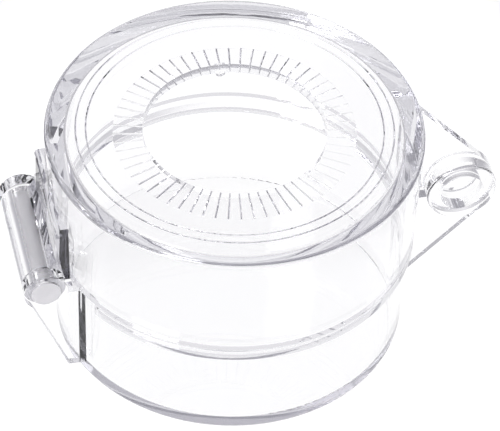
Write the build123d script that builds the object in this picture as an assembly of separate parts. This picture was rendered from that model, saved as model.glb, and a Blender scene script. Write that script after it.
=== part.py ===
# Clear moulded guard for a panel push button: mounting base, hinged cover and hinge pin.
# Origin: centre of the cover's flat outer face. +Z towards the panel, +X towards the padlock eye.
from build123d import *
import math
import os

# ---- overall heights (z) ----
HEIGHT = 40.9            # cover face to panel face
PLATE_T = 2.0            # panel plate thickness
PART_GAP = 0.3           # gap between the cover rim and the base rim
RIM_Z = 20.2             # top of the cover rim

# ---- mounting base ----
BASE_R_TOP = 31.5
BASE_R_RIM = 31.0
BASE_R_IN = 28.3
BASE_EDGE_R = 0.8        # rounding of the plate's outer edge
BASE_CORNER_R = 0.6      # inside corner between plate and wall
SPIGOT_R = 29.2
SPIGOT_Z = 17.8
HOLE_R = 15.25           # hole for the button's threaded neck
TEETH = 60
TEETH_R_OUT = 20.15
TOOTH_DEPTH = 0.25       # depth of the notch at each step
RAMP_DEPTH = 0.07        # depth of the ramp where it meets the notch
NOTCH_HALF = 0.14
RAMP_START = -0.92       # start of a ramp, as a share of half the tooth pitch
TOOTH_FILL = 0.995       # leaves a sliver between neighbouring gaps
NUB_X = 1.0              # sprue mark beside the bore
NUB_R = 0.9
NUB_L = 1.1
GROOVE_R_IN = 24.6
GROOVE_R_OUT = 26.3
GROOVE_W = 0.30          # two fine V lines round the panel face
GROOVE_DEPTH = 0.2

# ---- hinged cover ----
COVER_R_FOOT = 29.8
COVER_R_RIM = 30.05
COVER_R_IN_FOOT = 27.8
COVER_R_IN_RIM = 28.0
COVER_FOOT_ROUND = 0.8
COVER_CORNER_R = 0.3     # inside corner between floor and wall
FLOOR_T = 1.6
FLANGE_R = 31.0
FLANGE_Z = 18.2
LIP_H = 0.9              # height of the slope under the flange
RABBET_R = 29.6
RABBET_Z = 17.4
HINGE_RELIEF = 31.0      # half angle about -X without flange and spigot, degrees
RABBET_OVERLAP = 2.0     # the rabbet runs this many degrees into the relief

# ---- hinge ----
HINGE_X = -34.0
HINGE_Z = 20.6
BARREL_R = 3.6
BARREL_HALF = 9.6
EAR_IN = 9.9
EAR_OUT = 12.3
EAR_R = 3.65
GUSSET_X = -30.3         # foot of the ear's gusset
GUSSET_Z = 2.6
GUSSET_ROUND = 0.35
GUSSET_ROOT_X = -27.0    # the gusset ends inside the cover's wall
GUSSET_TOUCH = (-2.75, -2.4)    # where its slope touches the ear's ring, from the hinge axis
PIN_R = 1.4
PIN_HEAD_R = 2.5
PIN_HEAD_L = 1.0
PIN_FIT = 0.05
PIN_END = 11.3
PAD_X = -31.9
PAD_TOP = 32.4
PAD_ROUND = 0.8
PAD_ROOT_X = -29.5       # the pad ends inside the base's wall
FILL_TOP = 5.0           # web between barrel and pad, above the hinge axis

# ---- padlock eye ----
EYE_X = 39.7
EYE_Z = 20.7
EYE_R = 3.75
EYE_RING = 6.1
EAR_GAP = 0.3
WEB_T = 1.75
BOSS_PROUD = 0.6
BOSS_ROUND = 0.55
BASE_WEB_Z = 39.6
BASE_WEB_X = 30.2        # the webs start inside the walls
COVER_WEB_Z = 2.4
COVER_WEB_X = 29.7
WEB_FLAT = 0.9           # level stretch of a web before it slopes to the eye

# ---- how far the cutting solids reach past the faces they cut ----
PAST = 1.0
FAR = 50.0

os.makedirs("parts", exist_ok=True)


def save(solid, name):
    solid.label = name
    export_step(solid, "parts/" + name + ".step")


def turned(points):
    """Solid of revolution about Z from (r, z) points."""
    with BuildPart() as p:
        with BuildSketch(Plane.XZ):
            with BuildLine():
                Polyline(*points, close=True)
            make_face()
        revolve(axis=Axis.Z)
    return p.part


def prism_y(points, y0, y1):
    """Flat plate with an (x, z) outline, from y0 to y1."""
    plane = Plane(origin=(0, y0, 0), x_dir=(1, 0, 0), z_dir=(0, -1, 0))
    with BuildPart() as p:
        with BuildSketch(plane):
            with BuildLine():
                Polyline(*points, close=True)
            make_face()
        extrude(amount=-(y1 - y0))
    return p.part


def rod_y(r, x, z, y0, y1):
    """Cylinder along Y from y0 to y1."""
    return Pos(x, (y0 + y1) / 2, z) * Rot(90, 0, 0) * Cylinder(r, y1 - y0)


def sector(half_angle, r, z0, z1):
    """Wedge about -X, used to cut the hinge relief."""
    a = math.radians(half_angle)
    pts = [(0, 0), (-r * math.cos(a), r * math.sin(a)), (-r * 1.3, 0), (-r * math.cos(a), -r * math.sin(a))]
    with BuildPart() as p:
        with BuildSketch(Plane.XY.offset(z0)):
            with BuildLine():
                Polyline(*pts, close=True)
            make_face()
        extrude(amount=z1 - z0)
    return p.part


def tangent(px, pz, up):
    """Point where a line from (px, pz) touches the eye ring, above or below it."""
    dx, dz = px - EYE_X, pz - EYE_Z
    d = math.hypot(dx, dz)
    base = math.atan2(dz, dx)
    spread = math.acos(EYE_RING / d)
    ang = base - spread if up else base + spread
    return EYE_X + EYE_RING * math.cos(ang), EYE_Z + EYE_RING * math.sin(ang)


def ring_edges(solid, radius, z):
    """Circular edges of a given radius at a given height."""
    circles = solid.edges().filter_by(GeomType.CIRCLE)
    return [e for e in circles if abs(e.center().Z - z) < 0.01 and abs(e.radius - radius) < 0.01]


# ---------------- mounting base ----------------

def base_shell():
    """Plate, wall and spigot of the base, without ears and barrel."""
    inner_top = HEIGHT - PLATE_T
    rim = RIM_Z + PART_GAP
    shell = turned([(HOLE_R, HEIGHT), (BASE_R_TOP, HEIGHT), (BASE_R_RIM, rim), (SPIGOT_R, rim),
                    (SPIGOT_R, SPIGOT_Z), (BASE_R_IN, SPIGOT_Z), (BASE_R_IN, inner_top), (HOLE_R, inner_top)])
    shell = fillet(ring_edges(shell, BASE_R_TOP, HEIGHT), BASE_EDGE_R)
    shell = fillet(ring_edges(shell, BASE_R_IN, inner_top), BASE_CORNER_R)
    shell -= sector(HINGE_RELIEF, FAR, SPIGOT_Z - PAST, rim)
    for r in (GROOVE_R_IN, GROOVE_R_OUT):
        half = GROOVE_W / 2
        shell -= turned([(r - half, HEIGHT + 0.02), (r + half, HEIGHT + 0.02), (r, HEIGHT - GROOVE_DEPTH)])
    return shell


def tooth_gap():
    """Air under one ratchet tooth of the plate, along +X: a shallow ramp that ends in a notch."""
    z = HEIGHT - PLATE_T
    half = math.radians(360 / TEETH / 2)
    faces = []
    for r in (HOLE_R - PAST, TEETH_R_OUT):
        w = r * math.tan(half) * TOOTH_FILL
        plane = Plane(origin=(r, 0, z), x_dir=(0, 1, 0), z_dir=(1, 0, 0))
        with BuildSketch(plane) as s:
            with BuildLine():
                Polyline((RAMP_START * w, -0.05), (w, -0.05), (w, 0.02), (w - NOTCH_HALF, TOOTH_DEPTH),
                         (w - 2 * NOTCH_HALF, RAMP_DEPTH), (RAMP_START * w, 0), close=True)
            make_face()
        faces.append(s.sketch.face())
    return Solid.make_loft([f.outer_wire() for f in faces], True)


def hinge_barrel():
    """Central hinge barrel and the flat pad that carries it on the base wall."""
    barrel = rod_y(BARREL_R, HINGE_X, HINGE_Z, -BARREL_HALF, BARREL_HALF)
    floor = RIM_Z + PART_GAP
    bevel = PAD_ROUND / 4
    pad = prism_y([(PAD_X, floor), (PAD_X, PAD_TOP - PAD_ROUND), (PAD_X + bevel, PAD_TOP - bevel),
                   (PAD_X + PAD_ROUND, PAD_TOP), (PAD_ROOT_X, PAD_TOP), (PAD_ROOT_X, floor)],
                  -BARREL_HALF, BARREL_HALF)
    fill_top = HINGE_Z + FILL_TOP
    fill = prism_y([(HINGE_X + 1.0, HINGE_Z + 3.2), (PAD_X + 0.05, fill_top), (PAD_ROOT_X - 1.0, fill_top),
                    (PAD_ROOT_X - 1.0, floor), (HINGE_X + 1.0, floor)], -BARREL_HALF, BARREL_HALF)
    return barrel + pad + fill


def eye_boss(y0, y1, y_round):
    """Round boss of one padlock ear, rounded at its outer face y_round."""
    boss = rod_y(EYE_RING, EYE_X, EYE_Z, y0, y1)
    rim = [e for e in boss.edges().filter_by(GeomType.CIRCLE) if abs(e.center().Y - y_round) < 0.01]
    return fillet(rim, BOSS_ROUND)


def base_ear():
    """Padlock ear of the base: a web from the plate's edge down to the eye."""
    y0 = EAR_GAP / 2
    y1 = y0 + WEB_T + BOSS_PROUD
    shoulder = BASE_WEB_X + WEB_FLAT
    floor = RIM_Z + PART_GAP
    web = prism_y([(BASE_WEB_X, BASE_WEB_Z), (shoulder, BASE_WEB_Z), tangent(shoulder, BASE_WEB_Z, True),
                   (EYE_X, EYE_Z), (EYE_X, floor), (BASE_WEB_X, floor)], y0, y0 + WEB_T)
    return web + eye_boss(y0, y1, y1) - rod_y(EYE_R, EYE_X, EYE_Z, -FAR, FAR)


def gate_nub():
    """Small sprue mark under the plate beside the bore, towards +Y."""
    return Pos(NUB_X, HOLE_R + 0.75, HEIGHT - PLATE_T - 0.1) * Rot(90, 0, 0) * Cylinder(NUB_R, NUB_L)


def mounting_base():
    """Shell with barrel, padlock ear, ratchet teeth and sprue mark."""
    body = base_shell()
    bore = rod_y(PIN_R + PIN_FIT, HINGE_X, HINGE_Z, -FAR, FAR)
    low, high = SPIGOT_Z - 2 * PAST, HEIGHT - PLATE_T - 1.5 * PAST
    void = turned([(0, low), (BASE_R_IN, low), (BASE_R_IN, high), (0, high)])
    body += (hinge_barrel() - void) - bore
    body += base_ear() - void
    gap = tooth_gap()
    gaps = [Rot(0, 0, i * 360 / TEETH) * gap for i in range(TEETH)]
    body = body - gaps
    return body + gate_nub()


# ---------------- hinged cover ----------------

def cover_cup():
    """Outer body of the cover, still solid; the rim flange is cut away beside the hinge."""
    lip = FLANGE_Z - LIP_H
    cup = turned([(0, 0), (COVER_R_FOOT, 0), (COVER_R_RIM, lip), (FLANGE_R, FLANGE_Z), (FLANGE_R, RIM_Z),
                  (0, RIM_Z)])
    top = RIM_Z + PAST
    relief = turned([(COVER_R_RIM, lip), (FAR, lip), (FAR, top), (COVER_R_RIM, top)])
    return cup - (relief & sector(HINGE_RELIEF, FAR, 0, HEIGHT))


def cover_hollow():
    """Air inside the cover."""
    top = RIM_Z + PAST
    hollow = turned([(0, FLOOR_T), (COVER_R_IN_FOOT, FLOOR_T), (COVER_R_IN_RIM, top), (0, top)])
    return fillet(ring_edges(hollow, COVER_R_IN_FOOT, FLOOR_T), COVER_CORNER_R)


def rim_rabbet():
    """Step in the rim that clears the base spigot; it stops short of the hinge."""
    top = RIM_Z + PAST
    step = turned([(TEETH_R_OUT, RABBET_Z), (RABBET_R, RABBET_Z), (RABBET_R, top), (TEETH_R_OUT, top)])
    return step - sector(HINGE_RELIEF - RABBET_OVERLAP, FAR, 0, HEIGHT)


def hinge_ear(y0, y1):
    """Hinge ear of the cover with its triangular gusset."""
    ring = rod_y(EAR_R, HINGE_X, HINGE_Z, y0, y1)
    touch = (HINGE_X + GUSSET_TOUCH[0], HINGE_Z + GUSSET_TOUCH[1])
    gusset = prism_y([touch, (GUSSET_X, GUSSET_Z), (GUSSET_ROOT_X, GUSSET_Z), (GUSSET_ROOT_X, RIM_Z),
                      (HINGE_X + 3.0, RIM_Z), (HINGE_X, HINGE_Z)], y0, y1)
    mid = (touch[0] + GUSSET_X) / 2
    slope = [e for e in gusset.edges() if abs(e.center().X - mid) < 0.01 and e.length > EAR_R]
    return ring + fillet(slope, GUSSET_ROUND)


def cover_ear():
    """Padlock ear of the cover: a web from the foot of the wall up to the eye."""
    y1 = -EAR_GAP / 2
    y0 = y1 - WEB_T - BOSS_PROUD
    shoulder = COVER_WEB_X + WEB_FLAT
    web = prism_y([(COVER_WEB_X, COVER_WEB_Z), (shoulder, COVER_WEB_Z), tangent(shoulder, COVER_WEB_Z, False),
                   (EYE_X, EYE_Z), (EYE_X, RIM_Z), (COVER_WEB_X, RIM_Z)], y1 - WEB_T, y1)
    return web + eye_boss(y0, y1, y0) - rod_y(EYE_R, EYE_X, EYE_Z, -FAR, FAR)


def hinged_cover():
    """Cup with its flange, two hinge ears and one padlock ear; the ears are joined after the hollow is cut."""
    body = cover_cup()
    body = fillet(ring_edges(body, COVER_R_FOOT, 0), COVER_FOOT_ROUND)
    body = body - cover_hollow()
    body = body - rim_rabbet()
    body = body + hinge_ear(-EAR_OUT, -EAR_IN)
    body = body + hinge_ear(EAR_IN, EAR_OUT)
    body = body + cover_ear()
    body -= rod_y(PIN_R, HINGE_X, HINGE_Z, -EAR_OUT - PAST, PIN_END)
    return body - rod_y(PIN_HEAD_R, HINGE_X, HINGE_Z, -EAR_OUT - PAST, -EAR_OUT + PIN_HEAD_L)


# ---------------- hinge pin ----------------

def hinge_pin():
    """Headed pin; the head sits flush in the front ear."""
    shank = rod_y(PIN_R, HINGE_X, HINGE_Z, -EAR_OUT + 0.1, PIN_END)
    head = rod_y(PIN_HEAD_R, HINGE_X, HINGE_Z, -EAR_OUT, -EAR_OUT + PIN_HEAD_L)
    return shank + head


save(mounting_base(), "mounting_base")
save(hinged_cover(), "hinged_cover")
save(hinge_pin(), "hinge_pin")
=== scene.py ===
import bpy
import math
from mathutils import Matrix, Vector

# Clear hinged push button guard on a pale floor. Lengths are in metres.
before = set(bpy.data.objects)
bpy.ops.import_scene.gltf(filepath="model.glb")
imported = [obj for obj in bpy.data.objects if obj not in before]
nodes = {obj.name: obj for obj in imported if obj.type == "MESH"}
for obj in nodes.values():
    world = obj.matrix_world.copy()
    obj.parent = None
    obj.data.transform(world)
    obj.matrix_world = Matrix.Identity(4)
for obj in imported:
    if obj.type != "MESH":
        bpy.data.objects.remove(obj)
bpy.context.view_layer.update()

TURN = math.radians(14.2)        # the camera looks this far clockwise of +Y, seen from above

# ---- plastic ----
RIPPLE_SCALE = 55.0              # moulding ripple in the surface
RIPPLE_STRENGTH = 0.06
RIPPLE_HEIGHT = 0.0004
ABSORB_COLOUR = (0.66, 0.655, 0.70, 1)
ABSORB_DENSITY = 24.0
PIN_CLEARANCE = 0.00004          # keeps the pin's surface off the ears it is tight in

# ---- floor ----
FLOOR_HALF = 3.0
FLOOR_Z = -0.0003
POOL_CENTRE = (0.008, 0.0185, 0)
POOL_STRETCH = (0.63, 1.08, 1)   # across and along the camera's view
# Painted pool of light: the floor's emission colour by distance from the pool centre, white under
# the object, darker grey further out, lighter far away.
PAINTED_POOL_GLOW = [(0.085, (1, 1, 1)), (0.1, (0.62, 0.615, 0.64)), (0.125, (0.36, 0.355, 0.385)),
             (0.2, (0.33, 0.325, 0.355)), (0.6, (0.46, 0.455, 0.48))]

# ---- sky, from the horizon to the top ----
SKY_LOW = (0.40, 0.396, 0.424)
SKY_NEAR_TOP = (0.65, 0.6435, 0.689)
SKY_FAR_TOP = (0.95, 0.9405, 0.975)
FAR_START, FAR_END = 0.25, 0.6   # where the near sky turns into the far one

# ---- camera ----
PITCH, YAW, ROLL = 0.7971, 0.0050, 0.0426
CAMERA_PLACE = (0.0, -0.44149, 0.47231)
CAMERA_LENS = 269.7
SENSOR = 36.0

# ---- light paths: the rims guide light through many reflections ----
GLASS_BOUNCES = 80
GLOSSY_BOUNCES = 32

# sockets of a colour Mix node, whose names are shared with its other data types
MIX_FACTOR, MIX_A, MIX_B, MIX_RESULT = 0, 6, 7, 2


def link_all(tree, *pairs):
    for out_socket, in_socket in pairs:
        tree.links.new(out_socket, in_socket)


def set_stops(ramp, stops):
    """Fill a colour ramp from (position, rgb) pairs in rising order."""
    elements = ramp.color_ramp.elements
    elements[0].position = stops[0][0]
    elements[1].position = stops[-1][0]
    for position, _ in stops[1:-1]:
        elements.new(position)
    for element, (_, rgb) in zip(elements, stops):
        element.color = (*rgb, 1)


# ---------- materials ----------
def plastic(name, tint, rough, ior, transmission):
    """Slightly rippled, slightly absorbing polycarbonate."""
    material = bpy.data.materials.new(name)
    material.use_nodes = True
    tree = material.node_tree
    shader = tree.nodes["Principled BSDF"]
    shader.inputs["Base Color"].default_value = (*tint, 1)
    shader.inputs["Roughness"].default_value = rough
    shader.inputs["IOR"].default_value = ior
    shader.inputs["Transmission Weight"].default_value = transmission
    coords = tree.nodes.new("ShaderNodeTexCoord")
    noise = tree.nodes.new("ShaderNodeTexNoise")
    noise.inputs["Scale"].default_value = RIPPLE_SCALE
    noise.inputs["Detail"].default_value = 1.0
    bump = tree.nodes.new("ShaderNodeBump")
    bump.inputs["Strength"].default_value = RIPPLE_STRENGTH
    bump.inputs["Distance"].default_value = RIPPLE_HEIGHT
    absorb = tree.nodes.new("ShaderNodeVolumeAbsorption")
    absorb.inputs["Color"].default_value = ABSORB_COLOUR
    absorb.inputs["Density"].default_value = ABSORB_DENSITY
    link_all(tree,
             (coords.outputs["Object"], noise.inputs["Vector"]),
             (noise.outputs["Fac"], bump.inputs["Height"]),
             (bump.outputs["Normal"], shader.inputs["Normal"]),
             (absorb.outputs["Volume"], tree.nodes["Material Output"].inputs["Volume"]))
    return material


def painted_pool_floor(name):
    """Pale floor that glows by its own emission: a painted pool of light under the object, white
    close in, darker grey around it and lighter again far out.
    """
    material = bpy.data.materials.new(name)
    material.use_nodes = True
    tree = material.node_tree
    shader = tree.nodes["Principled BSDF"]
    shader.inputs["Base Color"].default_value = (0.12, 0.12, 0.12, 1)
    shader.inputs["Roughness"].default_value = 0.9
    shader.inputs["Specular IOR Level"].default_value = 0.1
    shader.inputs["Emission Strength"].default_value = 1.0
    coords = tree.nodes.new("ShaderNodeTexCoord")
    pool = tree.nodes.new("ShaderNodeMapping")
    pool.vector_type = "TEXTURE"
    pool.inputs["Location"].default_value = POOL_CENTRE
    pool.inputs["Rotation"].default_value = (0, 0, -TURN)
    pool.inputs["Scale"].default_value = POOL_STRETCH
    distance = tree.nodes.new("ShaderNodeVectorMath")
    distance.operation = "LENGTH"
    glow = tree.nodes.new("ShaderNodeValToRGB")
    # This ramp paints the pool of light and the darker ring around it into the floor's emission.
    set_stops(glow, PAINTED_POOL_GLOW)
    link_all(tree,
             (coords.outputs["Object"], pool.inputs["Vector"]),
             (pool.outputs["Vector"], distance.inputs[0]),
             (distance.outputs["Value"], glow.inputs["Fac"]),
             (glow.outputs["Color"], shader.inputs["Emission Color"]))
    return material


def dress(node_name, material):
    mesh = nodes[node_name].data
    mesh.materials.clear()
    mesh.materials.append(material)


def thin_pin():
    """Draw the pin's surface in by a hair, so that it doesn't coincide with the ears' bores."""
    pin = nodes["hinge_pin"]
    weld = pin.modifiers.new("weld", "WELD")
    weld.merge_threshold = 1e-6
    thin = pin.modifiers.new("thin", "DISPLACE")
    thin.strength = -PIN_CLEARANCE
    thin.mid_level = 0.0


# ---------- surroundings ----------
def add_floor():
    h = FLOOR_HALF
    mesh = bpy.data.meshes.new("floor")
    mesh.from_pydata([(-h, -h, 0), (h, -h, 0), (h, h, 0), (-h, h, 0)], [], [(0, 1, 2, 3)])
    mesh.materials.append(painted_pool_floor("painted_pool_studio_floor"))
    floor = bpy.data.objects.new("floor", mesh)
    floor.location.z = FLOOR_Z
    bpy.context.scene.collection.objects.link(floor)
    return floor


def add_sky():
    """Pale studio sky, brighter high up, and more so behind the object than in front of it."""
    world = bpy.data.worlds.new("studio")
    bpy.context.scene.world = world
    world.use_nodes = True
    tree = world.node_tree
    background = tree.nodes["Background"]
    background.inputs["Strength"].default_value = 1.0
    coords = tree.nodes.new("ShaderNodeTexCoord")
    turn = tree.nodes.new("ShaderNodeMapping")
    turn.inputs["Rotation"].default_value = (0, 0, TURN)
    axes = tree.nodes.new("ShaderNodeSeparateXYZ")
    near = tree.nodes.new("ShaderNodeValToRGB")
    far = tree.nodes.new("ShaderNodeValToRGB")
    set_stops(near, [(0, SKY_LOW), (1, SKY_NEAR_TOP)])
    set_stops(far, [(0, SKY_LOW), (1, SKY_FAR_TOP)])
    blend = tree.nodes.new("ShaderNodeMapRange")
    blend.inputs["From Min"].default_value = FAR_START
    blend.inputs["From Max"].default_value = FAR_END
    mix = tree.nodes.new("ShaderNodeMix")
    mix.data_type = "RGBA"
    link_all(tree,
             (coords.outputs["Generated"], turn.inputs["Vector"]),
             (turn.outputs["Vector"], axes.inputs[0]),
             (axes.outputs["Z"], near.inputs["Fac"]),
             (axes.outputs["Z"], far.inputs["Fac"]),
             (axes.outputs["Y"], blend.inputs["Value"]),
             (blend.outputs["Result"], mix.inputs[MIX_FACTOR]),
             (near.outputs["Color"], mix.inputs[MIX_A]),
             (far.outputs["Color"], mix.inputs[MIX_B]),
             (mix.outputs[MIX_RESULT], background.inputs["Color"]))


def area(name, place, size, power, target=(0, 0, 0.02)):
    """Rectangular lamp that faces a target."""
    light = bpy.data.lights.new(name, "AREA")
    light.shape = "RECTANGLE"
    light.size, light.size_y = size
    light.energy = power
    lamp = bpy.data.objects.new(name, light)
    lamp.location = place
    aim = Vector(target) - Vector(place)
    lamp.rotation_euler = aim.to_track_quat("-Z", "Y").to_euler()
    bpy.context.scene.collection.objects.link(lamp)


def add_camera():
    data = bpy.data.cameras.new("camera")
    data.sensor_width = SENSOR
    data.lens = CAMERA_LENS
    data.clip_start = 0.01
    camera = bpy.data.objects.new("camera", data)
    bpy.context.scene.collection.objects.link(camera)
    forward = Vector((0, math.cos(PITCH), -math.sin(PITCH)))
    up = Vector((0, math.sin(PITCH), math.cos(PITCH)))
    right = Vector((1, 0, 0))
    view = forward * math.cos(YAW) + right * math.sin(YAW)
    across = right * math.cos(YAW) - forward * math.sin(YAW)
    rolled_right = across * math.cos(ROLL) + up * math.sin(ROLL)
    rolled_up = up * math.cos(ROLL) - across * math.sin(ROLL)
    basis = Matrix((rolled_right, rolled_up, -view)).transposed().to_4x4()
    camera.matrix_world = Matrix.Rotation(-TURN, 4, "Z") @ Matrix.Translation(CAMERA_PLACE) @ basis
    bpy.context.scene.camera = camera


clear = plastic("clear_polycarbonate", (0.995, 0.995, 0.998), 0.0, 1.585, 1.0)
milky = plastic("pin_polycarbonate", (0.97, 0.96, 0.98), 0.35, 1.5, 0.3)
dress("mounting_base", clear)
dress("hinged_cover", clear)
dress("hinge_pin", milky)
thin_pin()

floor = add_floor()
add_sky()
area("key", (-0.45, -0.25, 0.75), (0.35, 0.35), 2.0)
area("side", (0.65, 0.1, 0.45), (0.25, 0.4), 0.3)
area("left", (-0.5, -0.35, 0.35), (0.3, 0.3), 2.2, (-0.034, 0, 0.02))
add_camera()

scene = bpy.context.scene
scene.view_settings.view_transform = "Standard"
scene.cycles.max_bounces = GLASS_BOUNCES
scene.cycles.transmission_bounces = GLASS_BOUNCES
scene.cycles.glossy_bounces = GLOSSY_BOUNCES
